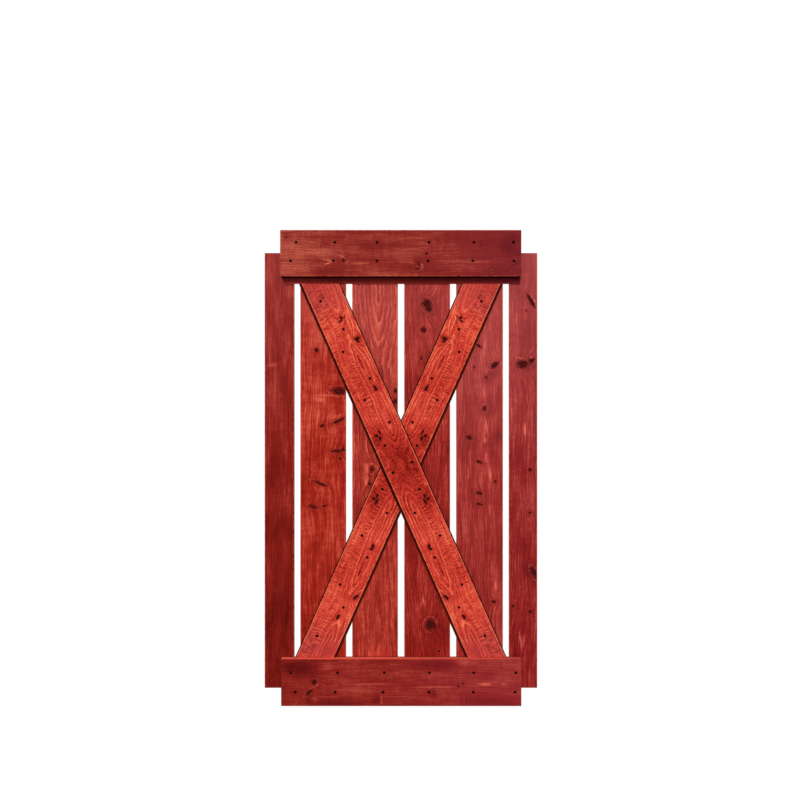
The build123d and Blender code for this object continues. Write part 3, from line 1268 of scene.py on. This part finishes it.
@dataclass
class Screws:
    """One board's flat-head wood screws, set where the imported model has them."""

    board: str
    head: float = 0.0049
    head_edge: float = 0.0002
    shank: float = 0.0024
    root: float = 0.0018
    plain_share: float = 0.35
    pitch: float = 0.0022
    point: float = 0.006
    tip: float = 0.0004
    sides: int = 20
    recess_arm: float = 0.0027
    recess_half: float = 0.0005
    recess_levels: Steps = ((-0.0005, 1.1), (0.0009, 0.85), (0.0024, 0.3))
    neck_step: float = 0.0002
    first_turn: float = 0.0006
    root_flat: float = 0.0008
    crest: float = 0.0023
    crest_rise: float = 0.0013
    last_root: float = 0.001
    turn_step: float = 0.4
    turn_growth: float = 0.7

    def profile(self, length: float) -> list[Place]:
        """List the screw's outline from the head to the tip.

        Args:
            length: From the head's top to the tip.

        Returns:
            Radius and depth of each ring.
        """
        neck = self.head - self.shank
        thread = neck + self.plain_share * (length - neck)
        run = length - self.point - thread
        rings = [(self.head - self.head_edge, 0.0), (self.head, self.head_edge),
                 (self.shank, neck + self.head_edge), (self.shank - self.neck_step, thread)]
        turns = max(6, int(run / self.pitch))
        for k in range(turns):
            at = thread + self.first_turn + k * run / turns
            rings += [(self.root, at), (self.root, at + self.root_flat), (self.crest, at + self.crest_rise)]
        rings += [(self.root, length - self.point + self.last_root), (self.tip, length)]
        return rings

    def single(self, length: float) -> Piece:
        """Build one screw with its cross recess.

        Args:
            length: From the head's top to the tip.

        Returns:
            The screw, with its head at the origin, pointing to +Y.
        """
        rings = [circle(radius, y, self.sides) for radius, y in self.profile(length)]
        screw = mesh_piece("screw", np.array(sum(rings, [])), ring_faces(len(rings), self.sides))
        arm, half = self.recess_arm, self.recess_half
        plus = [(half, half), (half, arm), (-half, arm), (-half, half), (-arm, half), (-arm, -half),
                (-half, -half), (-half, -arm), (half, -arm), (half, -half), (arm, -half), (arm, half)]
        rings = [[(x * size, y, z * size) for x, z in plus] for y, size in self.recess_levels]
        cut(screw, mesh_piece("cross_tool", np.array(sum(rings, [])), ring_faces(len(rings), len(plus))))
        return screw

    def build(self, material: bpy.types.Material) -> None:
        """Build the screws of one board as one piece, each turned a little differently.

        Args:
            material: What they are dressed with.
        """
        node = self.board + "_screws"
        places = screw_places(node)
        single = self.single(places[0][3] - places[0][2])
        co = places_of(single.data.vertices)
        skin = [tuple(p.vertices) for p in single.data.polygons]
        points, faces = [], []
        for k, (x, z, head_y, _) in enumerate(places):
            turn = self.turn_growth * k * k + self.turn_step * k
            c, s = math.cos(turn), math.sin(turn)
            px, pz = co[:, 0] * c - co[:, 2] * s, co[:, 0] * s + co[:, 2] * c
            points.append(np.stack([px + x, co[:, 1] + head_y, pz + z], axis=-1))
            faces += [tuple(k * len(co) + i for i in f) for f in skin]
        bpy.data.meshes.remove(single.data)
        hand_over(mesh_piece(node + "_set", np.concatenate(points), faces), node, material)


def box_outline(node: str, foot: float | None = None) -> Outline:
    """Take a board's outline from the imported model.

    Args:
        node: The board's node.
        foot: The height of its lower edge, where that isn't the node's own.

    Returns:
        Its lower left, lower right, upper right and upper left corner.
    """
    low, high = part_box(node)
    base = low.z if foot is None else foot
    return [(low.x, base), (high.x, base), (high.x, high.z), (low.x, high.z)]


@dataclass
class PlankRow:
    """The six upright planks."""

    slot: str = "plank_wood"
    ease: float = 0.0015
    step: float = 0.005

    def boards(self) -> list[Board]:
        """List the planks from the left.

        Returns:
            The planks.
        """
        made = []
        for number, look in enumerate(PLANK_LOOKS, start=1):
            node = f"plank_{number}"
            made.append(Board(node, look, Layer.PLANKS, Grain.UPRIGHT, box_outline(node), seed=10 * number,
                              ease=self.ease, step=self.step))
        return made


@dataclass
class RailPair:
    """The two cross rails and the open holes past the planks' ends."""

    slot: str = "rail_wood"
    top_face_low: float = 1.927
    bottom_ease: float = 0.0008
    lip_inset: float = 0.0015
    lip_rise: float = 0.001
    lip_overlap: float = 0.004
    lip_end_slant: float = 0.015
    top_open_z: float = 2079.5
    bottom_open_z: float = 62.5
    top_shares: tuple[float, ...] = (1.105, 0.77, 0.55, 0.535, 0.36, 0.11)
    bottom_shares: tuple[float, ...] = (1.085, 0.78, 0.675, 0.53, 0.345, 0.165)

    def open_row(self, shares: tuple[float, ...], z: float) -> list[Bore]:
        """Place a row of open holes, one to a plank.

        Args:
            shares: Each hole's place across its plank.
            z: The row's height in millimetres.

        Returns:
            The holes.
        """
        row = []
        for number, share in enumerate(shares, start=1):
            low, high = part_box(f"plank_{number}")
            row.append(Bore((low.x + share * (high.x - low.x)) / MM, z, through=True))
        return row

    def lip(self) -> Outline:
        """Outline the top rail's lip, which reaches up into the rail.

        Returns:
            Its corners.
        """
        low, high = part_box("top_rail")
        left, right = low.x + self.lip_inset, high.x - self.lip_inset
        edge, head = low.z + self.lip_rise, self.top_face_low + self.lip_overlap
        return [(left + self.lip_end_slant, edge), (right, edge), (right, head), (left, head)]

    def boards(self) -> list[Board]:
        """List the two rails.

        Returns:
            The rails.
        """
        bores = self.open_row(self.top_shares, self.top_open_z) + screw_bores("top_rail")
        top = LippedRail("top_rail", TOP_RAIL_LOOK, Layer.RAILS, Grain.LEVEL,
                         box_outline("top_rail", self.top_face_low), seed=70, bores=bores, lip=self.lip())
        bores = self.open_row(self.bottom_shares, self.bottom_open_z) + screw_bores("bottom_rail")
        bottom = Rail("bottom_rail", BOTTOM_RAIL_LOOK, Layer.RAILS, Grain.LEVEL, box_outline("bottom_rail"),
                      seed=80, ease=self.bottom_ease, bores=bores)
        return [top, bottom]


@dataclass
class XBrace:
    """The long brace and the two half braces, between the rails."""

    slot: str = "brace_wood"
    width: float = 0.164
    under_slope: float = 0.008
    top_reach: float = 0.377
    bottom_reach: float = 0.388
    face_top: float = 1.927
    top: float = 1.8961
    rail_top: float = 0.211
    bottom: float = 0.2114
    seam: float = 0.00005

    def lean(self) -> float:
        """Give the arms' run per unit of height."""
        return (self.top_reach + self.bottom_reach) / (self.face_top - self.rail_top)

    def crossing(self) -> float:
        """Give the height where the arms cross."""
        return self.rail_top + self.bottom_reach / self.lean()

    def edge(self, side: int, offset: float, z: float) -> Place:
        """Find a place on a line along an arm.

        Args:
            side: 1 for the arm that leans left, -1 for the one that leans right.
            offset: How far the line lies to the right of the arm's centreline.
            z: The height.

        Returns:
            The place.
        """
        slope = self.lean()
        level = offset * math.sqrt(1 + slope * slope)
        return (side * (self.crossing() - z) * slope + level, z)

    def outline(self, side: int, left: float, right: float) -> Outline:
        """Draw an arm's corners, its left and right edge measured from its centreline."""
        return [self.edge(side, left, self.bottom), self.edge(side, right, self.bottom),
                self.edge(side, right, self.top), self.edge(side, left, self.top)]

    def halves(self, left: float, right: float) -> tuple[Outline, Outline]:
        """Part the right-leaning arm where the long brace passes.

        Args:
            left: Its left edge, from the centreline.
            right: Its right edge.

        Returns:
            The upper and the lower half's corners.
        """
        half, ends = self.width / 2, (self.bottom, self.top)
        above = [self.edge(1, half + self.seam, z) for z in ends]
        below = [self.edge(1, -half - self.under_slope - self.seam, z) for z in ends]
        low_left, low_right, top_right, top_left = self.outline(-1, left, right)
        upper = [corner(low_left, top_left, *above), corner(low_right, top_right, *above),
                 top_right, top_left]
        lower = [low_left, low_right,
                 corner(low_right, top_right, *below), corner(low_left, top_left, *below)]
        return upper, lower

    def boards(self) -> list[Board]:
        """List the three braces.

        Returns:
            The braces.
        """
        half, foot = self.width / 2, self.width / 2 + self.under_slope
        upper, lower = self.halves(-half, half)
        upper_back, lower_back = self.halves(-half, foot)
        long_front, long_back = self.outline(1, -half, half), self.outline(1, -foot, half)
        rows = (
            ("long_brace", Grain.LEFT_ARM, long_front, long_back, brace_knots(1)),
            ("upper_half_brace", Grain.RIGHT_ARM, upper, upper_back, brace_knots(-1, lower=False)),
            ("lower_half_brace", Grain.RIGHT_ARM, lower, lower_back, brace_knots(-1, upper=False)),
        )
        return [Brace(node, replace(BRACE_LOOK, knots=knots), Layer.BRACES, grain, front, seed=90,
                      back_corners=back, origin=(0.0, self.crossing()), reach=BRACE_REACH,
                      mirrored=grain is Grain.RIGHT_ARM, folded=True, bores=screw_bores(node))
                for node, grain, front, back, knots in rows]


@dataclass
class Studio:
    """The floor, the lights, the white surroundings and the camera."""

    floor_z: float = -0.012
    floor_reach: float = 24.0
    floor_tiles: int = 8
    floor_light: float = 0.25
    floor_dark: float = 0.23
    floor_seen: float = 0.1
    floor_glow: float = 0.94
    key_place: Point = (0.0, -3.0, 4.0)
    key_travel: Point = (0.04, 1.0, -0.25)
    key_strength: float = 1.8
    key_softness: float = 10.0
    fill: float = 0.68
    eye: Point = (-0.00426, -3.0935, 1.3725)
    lens: float = 30.795
    sensor: float = 36.0

    def place(self, name: str, data: bpy.types.ID, where: Point) -> Piece:
        """Put a lamp or a camera in the scene.

        Args:
            name: Its name.
            data: The lamp or the camera.
            where: Where it stands.

        Returns:
            Its object.
        """
        carrier = bpy.data.objects.new(name, data)
        carrier.location = where
        bpy.context.scene.collection.objects.link(carrier)
        return carrier

    def floor(self) -> None:
        """Lay a pale floor that keeps the door's shadow."""
        count = self.floor_tiles + 1
        ticks = np.linspace(-self.floor_reach, self.floor_reach, count)
        points = np.array([(x, y, self.floor_z) for y in ticks for x in ticks])
        first = [r * count + c for r in range(self.floor_tiles) for c in range(self.floor_tiles)]
        ground = mesh_piece("studio_floor", points, [(a, a + 1, a + count + 1, a + count) for a in first])
        made = bpy.data.materials.new("pale_floor")
        w = Wiring(made)
        seen = w.seen()
        pale = w.mix(w.noise(w.on_object(), Noise.FLOOR), grey(self.floor_light), grey(self.floor_dark))
        matt = w.node("ShaderNodeBsdfDiffuse", w.mix(seen, pale, grey(self.floor_seen)))
        white = w.node("ShaderNodeEmission", grey(self.floor_glow), seen)
        w.finish(w.node("ShaderNodeAddShader", matt.outputs[0], white.outputs[0]).outputs[0])
        ground.data.materials.append(made)

    def surroundings(self) -> None:
        """Light the door evenly from all round, white where it is seen."""
        world = bpy.data.worlds.new("white_room")
        w = Wiring(world)
        dim, white = (w.node("ShaderNodeBackground", grey(1.0), s).outputs[0] for s in (self.fill, 1.0))
        w.finish(w.node("ShaderNodeMixShader", w.seen(), dim, white).outputs[0], "ShaderNodeOutputWorld")
        bpy.context.scene.world = world

    def key(self) -> None:
        """Hang one soft lamp above and in front of the door."""
        lamp = bpy.data.lights.new("key", "SUN")
        lamp.energy = self.key_strength
        lamp.angle = math.radians(self.key_softness)
        carrier = self.place("key", lamp, self.key_place)
        carrier.rotation_euler = Vector(self.key_travel).to_track_quat("-Z", "Y").to_euler()

    def camera(self) -> None:
        """Stand the camera square in front of the door."""
        camera = bpy.data.cameras.new("camera")
        camera.lens = self.lens
        camera.sensor_width = self.sensor
        camera.dof.use_dof = False
        carrier = self.place("camera", camera, self.eye)
        carrier.rotation_euler = (math.radians(90.0), 0.0, 0.0)
        bpy.context.scene.camera = carrier

    def build(self) -> None:
        """Set up the whole studio."""
        self.floor()
        self.surroundings()
        self.key()
        self.camera()
        bpy.context.scene.view_settings.view_transform = "Standard"


def plank_stain(dark: Colour, middle: Colour, light: Colour, **more: object) -> Stain:
    """Mix a plank's crimson stain."""
    return Stain("crimson_stain", dark, middle, light, arcs=0.85, **more)


PLANK_LOOKS = (
    Look(
        plank_stain((84, 8, 4), (135, 29, 21), (172, 60, 50), veins=0.04, streaks=0.9, clouds=0.9,
                    chatter=0.15),
        heart=150,
        rises=((0, 20), (0.5, 60), (1, 30)),
        patches=(Patch(-584, 1531, 26, 9, 0.5, 8), Patch(-508, 1862, 22, 36, 0.6),
                 Patch(-584, 1960, 16, 70, 0.45), Patch(-500, 430, 10, 60, 0.35)),
        fades=((0, -0.2), (0.2, -0.4), (0.45, -0.1), (0.6, 0), (1, 0.05)),
        blooms=((0, 0), (0.55, 0), (0.8, 0.1), (1, 0.25)),
    ),
    Look(
        plank_stain((104, 12, 6), (167, 39, 25), (210, 84, 64), chatter=0.4),
        heart=-150,
        rises=((0, 20), (0.4, 60), (1, 30)),
        knots=(Knot(-382, 1599, 9, 11), Knot(-281, 1413, 32, 16, -4, 0.4),
               Knot(-358, 1255, 11, 7, 30, 0.5), Knot(-283, 1278, 32, 7, 25, 0.5),
               Knot(-287, 1142, 27, 6, 4, 0.5), Knot(-262, 1147, 8, 9), Knot(-276, 1107, 7, 7),
               Knot(-367, 994, 32, 6, -22, 0.4), Knot(-398, 888, 18, 7, -20, 0.5),
               Knot(-344, 892, 10, 5, 15, 0.5)),
        patches=(Patch(-330, 1394, 60, 4, 0.7), Patch(-362, 1375, 24, 10, 0.4),
                 Patch(-285, 1300, 24, 7, 0.4, 25), Patch(-385, 1336, 20, 24, -0.25),
                 Patch(-330, 1019, 16, 40, -0.35), Patch(-287, 747, 16, 40, -0.3)),
        fades=((0, -0.1), (0.4, -0.05), (0.7, 0.1), (1, 0)),
        blooms=((0, 0), (0.7, 0), (0.85, 0.15), (1, 0.3)),
    ),
    Look(
        plank_stain((98, 10, 7), (160, 42, 31), (208, 80, 62), glow=(224, 102, 80), veins=0.36,
                    ragged=1.6, streaks=1, fibres=1, chatter=0.2),
        heart=12,
        rises=((0, 30), (0.5, 42), (0.78, 42), (0.82, 26), (0.86, 10), (0.9, 2), (1, 2)),
        ring_width=18,
        first_ring=10,
        shows=((0, 0.45), (0.3, 0.5), (0.55, 0.8), (0.7, 1), (1, 1)),
        knots=(Knot(-131, 1060, 15, 18, 0, 1.4, 0.7), Knot(-142, 993, 10, 9, 0, 1, 0.8),
               Knot(-24, 1413, 9, 13), Knot(-25, 1365, 10, 13)),
        patches=(Patch(-153, 1060, 5, 18, 1.1), Patch(-136, 1083, 13, 5, 1),
                 Patch(-110, 1068, 5, 12, 0.8), Patch(-158, 1000, 5, 12, 0.9),
                 Patch(-20, 360, 8, 60, -0.4)),
        fades=((0, -0.1), (0.15, 0.05), (0.5, -0.1), (0.65, 0.05), (0.8, 0.2), (1, 0.1)),
        blooms=((0, 0), (0.6, 0.08), (1, 0.55)),
    ),
    Look(
        plank_stain((86, 8, 6), (148, 30, 23), (195, 70, 58), fibres=0.75, chatter=0.2),
        heart=-140,
        rises=((0, 40), (0.25, 70), (0.6, 30), (1, 60)),
        knots=(Knot(116, 1810, 20, 20, 12, 1.3), Knot(126, 1786, 15, 14),
               Knot(102, 1690, 14, 15, 0, 1.4), Knot(133, 355, 21, 23, 20, 1.3), Knot(92, 1560, 6, 9),
               Knot(172, 235, 9, 6, 0, 1, 0.8)),
        patches=(Patch(117, 1790, 36, 52, -0.4), Patch(102, 1691, 30, 34, 0.25),
                 Patch(100, 1590, 30, 60, -0.25), Patch(214, 1130, 10, 170, -0.45),
                 Patch(213, 785, 10, 50, -0.4), Patch(98, 462, 5, 24, 0.8, -8),
                 Patch(106, 456, 5, 20, 0.7, 12)),
        fades=((0, -0.25), (0.12, -0.22), (0.3, -0.05), (0.5, -0.1), (0.65, 0.1), (0.8, 0.15),
               (1, -0.05)),
        blooms=((0, 0), (0.7, 0.08), (1, 0.5)),
    ),
    Look(
        plank_stain((94, 11, 9), (153, 37, 32), (194, 77, 69), chatter=0.2),
        heart=160,
        rises=((0, 40), (0.5, 20), (1, 60)),
        knots=(Knot(354, 1617, 15, 6, -35, 0.6), Knot(424, 1532, 21, 13, 30, 0.8), Knot(331, 1522, 5, 6),
               Knot(379, 1334, 12, 14, 0, 1.2, 0.8), Knot(308, 1202, 16, 9, -25, 0.6),
               Knot(356, 1091, 16, 6, -22, 0.5), Knot(428, 1004, 6, 7), Knot(354, 951, 16, 7, -20, 0.5),
               Knot(356, 901, 16, 6, -18, 0.5), Knot(421, 459, 11, 8),
               Knot(388, 1476, 14, 20, 0, 0.6, 0.45)),
        patches=(Patch(380, 1228, 4, 40, 0.9, -8), Patch(388, 1252, 4, 36, 0.9, 10),
                 Patch(377, 1612, 4, 34, 0.9, -8), Patch(374, 1405, 4, 34, 0.8, 6),
                 Patch(384, 1110, 4, 30, 0.8, -6), Patch(380, 1500, 4, 26, 0.7, 8),
                 Patch(382, 1190, 7, 13, 1.1), Patch(402, 1040, 5, 36, 0.9, 3),
                 Patch(392, 1115, 4, 60, 0.4), Patch(384, 1400, 4, 60, 0.7, 5),
                 Patch(390, 1500, 4, 50, 0.8, -6), Patch(402, 878, 4, 28, 0.9),
                 Patch(392, 1336, 40, 42, -0.4), Patch(440, 1210, 24, 30, -0.5),
                 Patch(430, 1500, 24, 26, -0.5), Patch(452, 1535, 4, 10, 1.1), Patch(408, 1525, 5, 5, 1),
                 Patch(400, 1470, 22, 34, -0.45, -15), Patch(428, 530, 5, 26, 0.8),
                 Patch(364, 1338, 4, 13, 1), Patch(393, 1340, 4, 13, 1), Patch(379, 1354, 10, 5, 0.9)),
        fades=((0, 0), (0.6, -0.02), (0.75, 0.15), (1, 0.15)),
        blooms=((0, 0.05), (0.5, 0.12), (0.75, 0.45), (1, 0.5)),
    ),
    Look(
        plank_stain((90, 9, 8), (143, 29, 27), (188, 74, 69), chatter=0.2),
        heart=-140,
        rises=((0, 60), (0.5, 20), (1, 40)),
        knots=(Knot(590, 1822, 9, 38, 32, 1.3), Knot(567, 1776, 4, 5), Knot(553, 1534, 26, 17, 0, 1.2),
               Knot(592, 1550, 13, 12), Knot(585, 1057, 9, 9), Knot(585, 861, 8, 7, 0, 1, 0.8),
               Knot(603, 590, 13, 28, 30, 1.2, 0.9), Knot(508, 439, 7, 9, 0, 1, 0.8),
               Knot(586, 414, 8, 9)),
        patches=(Patch(540, 1562, 15, 5, 1.1, -20), Patch(592, 1562, 5, 12, 1.1, 20),
                 Patch(606, 1812, 6, 44, 1.2, 22), Patch(553, 1884, 20, 22, 0.4),
                 Patch(562, 1236, 4, 30, 0.8), Patch(562, 1243, 5, 26, 0.6),
                 Patch(556, 1536, 44, 18, -0.5), Patch(585, 600, 30, 30, -0.5),
                 Patch(541, 288, 5, 36, 0.9, 8), Patch(557, 284, 5, 36, 0.8, -8)),
        fades=((0, -0.1), (1, 0)),
        blooms=((0, 0), (0.5, 0.1), (0.8, 0.4), (1, 0.7)),
    ),
)

TOP_RAIL_LOOK = Look(
    Stain("brown_red_stain", (88, 14, 12), (140, 40, 34), (180, 82, 64), veins=0.08, streaks=0.55,
          clouds=0.5, chatter=0.3, speckle=0.5, arcs=0.8, bloom=(140, 44, 56)),
    heart=-180,
    rises=((0, 30), (0.5, 60), (1, 30)),
    ring_width=12,
    knots=(Knot(-258, 1998, 10, 9, 0, 1.2, 0.9), Knot(80, 1981, 17, 5, 30, 0.8, 0.9),
           Knot(72, 1962, 5, 14, -20, 0.5, 0.8), Knot(114, 2028, 6, 6),
           Knot(-515, 2103, 10, 10, 0, 1, 0.4), Knot(408, 1949, 9, 9, 0, 1, 0.4)),
    patches=(Patch(-327, 1952, 20, 80, -0.4), Patch(-327, 1999, 4, 26, 0.9, -14),
             Patch(-326, 1986, 4, 24, 0.9, 20), Patch(-262, 2014, 4, 16, 0.6, -30),
             Patch(-240, 1992, 4, 12, 0.7, 50), Patch(-180, 1986, 4, 42, 0.7),
             Patch(93, 1968, 15, 8, 1, 15), Patch(-460, 1994, 4, 60, 0.35),
             Patch(-470, 1975, 4, 70, 0.35), Patch(-440, 2010, 4, 40, 0.3),
             Patch(-470, 1955, 12, 50, 0.2), Patch(495, 2072, 58, 46, -0.5),
             # Patch(0, 1911, ...) darkens the lip as painted shadow under the rail's face.
             Patch(0, 1911, 13, 1200, -0.6), Patch(498, 1972, 4, 44, -1, 38),
             Patch(482, 1960, 3, 40, 0.7, 38), Patch(330, 1992, 4, 90, 0.6)),
    fades=((0, -0.4), (0.3, -0.1), (0.5, 0.05), (0.75, 0.15), (1, 0.4)),
    blooms=((0, 0.6), (0.15, 0.35), (0.4, 0), (1, 0)),
)

BOTTOM_RAIL_LOOK = Look(
    Stain("brown_red_stain", (86, 10, 5), (140, 34, 25), (184, 76, 58), veins=0.08, streaks=0.6,
          clouds=0.5, chatter=0.25, speckle=0.5, arris=0, arcs=0.8, bloom=(150, 38, 54)),
    heart=190,
    rises=((0, 30), (0.5, 60), (1, 30)),
    ring_width=12,
    knots=(Knot(-388, 108, 12, 11, 0, 1.3), Knot(-411, 62, 22, 8, -50, 0.8, 0.9), Knot(278, 102, 5, 6),
           Knot(258, 88, 5, 5)),
    patches=(Patch(-376, 96, 6, 6, 1.2), Patch(-392, 30, 14, 24, 0.5), Patch(-412, 30, 20, 16, -0.7),
             Patch(-340, 40, 3, 60, 0.5), Patch(-456, 168, 38, 84, -1), Patch(-334, 180, 24, 36, 0.4),
             Patch(138, 184, 28, 104, -0.75), Patch(274, 196, 16, 34, 0.5), Patch(146, 58, 22, 16, -0.6),
             Patch(-107, 27, 22, 24, -0.6), Patch(-88, 27, 22, 4, 0.9), Patch(460, 120, 40, 60, 0.25),
             Patch(283, 19, 26, 4, 1), Patch(-116, 99, 3, 90, 0.7), Patch(378, 98, 5, 26, 1.1),
             Patch(460, 98, 3, 14, 0.9), Patch(150, 86, 3, 90, 0.7), Patch(410, 14, 18, 130, -0.5),
             Patch(-300, 14, 18, 120, -0.5), Patch(284, 20, 24, 14, -0.6)),
    fades=((0, 0.2), (0.3, 0.15), (0.6, 0), (1, -0.1)),
    blooms=((0, 0.6), (0.25, 0.55), (0.5, 0.2), (1, 0.1)),
)


def brace_knots(side: int, upper: bool = True, lower: bool = True) -> tuple[Knot, ...]:
    """List the knots along an arm, which both arms share in mirror image.

    Args:
        side: 1 for the arm that leans left at the top, -1 for the other.
        upper: Whether to list the upper half's.
        lower: Whether to list the lower half's.

    Returns:
        The knots.
    """
    above = [(-270, 1741, 5, 13, 0), (-272, 1728, 8, 6, 20), (-194, 1650, 9, 6, -20),
             (-197, 1640, 5, 15, 25), (-205, 1648, 6, 6, 0), (-135, 1591, 5, 7, 0),
             (-117, 1430, 6, 14, 15), (-112, 1419, 8, 6, 0), (-97, 1227, 5, 16, 8),
             (-111, 1211, 9, 7, 0), (-93, 1199, 6, 10, -20)]
    below = [(107, 941, 5, 12, -10), (122, 928, 9, 7, 0), (109, 914, 6, 14, 10), (128, 712, 7, 15, -15),
             (134, 700, 8, 6, 0), (204, 484, 6, 15, 20), (209, 478, 8, 6, 0), (284, 395, 7, 14, 10)]
    places = (above if upper else []) + (below if lower else [])
    return tuple(Knot(side * x, *rest) for x, *rest in places)


def brace_patches() -> tuple[Patch, ...]:
    """List the dark places at the crossing and beside its knots, and the light lines over them.

    Returns:
        The patches.
    """
    pairs = ((120, 1184, 16, 20, -0.5), (124, 966, 16, 20, -0.5), (50, 917, 12, 20, -0.35))
    sides = [Patch(hand * x, *rest) for x, *rest in pairs for hand in (-1, 1)]
    places = ((-104, 1140), (101, 1140), (-117, 996), (116, 996))
    lines = [Patch(x, z, 3, 16, 1.4, 90) for x, z in places]
    return (Patch(0, 1081, 90, 125, -0.75), *sides, *lines)


def mirrored_steps(half: Steps) -> Steps:
    """Lay steps in millimetres from the crossing out towards both ends of an arm."""
    return tuple((0.5 + hand * away / (2 * BRACE_REACH), value) for hand in (-1, 1)
                 for away, value in half[::hand])


BRACE_LOOK = Look(
    Stain("orange_red_stain", (122, 18, 12), (194, 52, 39), (228, 86, 64), glow=(244, 122, 84),
          knot=(66, 12, 8), core=(22, 4, 4), veins=0.36, streaks=1.2, clouds=0.25, chatter=0.3,
          speckle=1.15, arris=1, arris_width=0.0095, outline=1, saw_marks=0.75),
    heart=24,
    rises=mirrored_steps(((0, 74), (50, 60), (102, 42), (130, 26), (168, 10), (200, 3), (368, 0),
                          (520, 3), (560, 10), (600, 20), (640, 26), (700, 22), (740, 16), (785, 10),
                          (830, 3), (925, 0))),
    ring_width=16,
    first_ring=10,
    waver=0.5,
    patches=brace_patches(),
    fades=((0, -0.2), (0.06, 0.15), (0.12, 0.4), (0.21, 0), (0.3, 0.4), (0.4, -0.1), (0.5, 0.1),
           (0.57, -0.15), (0.63, 0.3), (0.69, 0.05), (0.75, 0.2), (0.8, 0.1), (0.87, 0.4), (1, -0.2)),
    blooms=((0, 0.35), (0.1, 0), (0.89, 0), (0.93, 0.3), (1, 0.35)),
)


def main() -> None:
    """Build the door piece by piece, then the studio round it."""
    logging.basicConfig(level=logging.INFO, format="%(name)s: %(message)s")
    for group in (PlankRow(), RailPair(), XBrace()):
        for board in group.boards():
            board.build(group.slot)
    black = Blacking().material()
    for board in ("top_rail", "bottom_rail", "long_brace", "upper_half_brace", "lower_half_brace"):
        Screws(board).build(black)
    Studio().build()


if __name__ == "__main__":
    main()
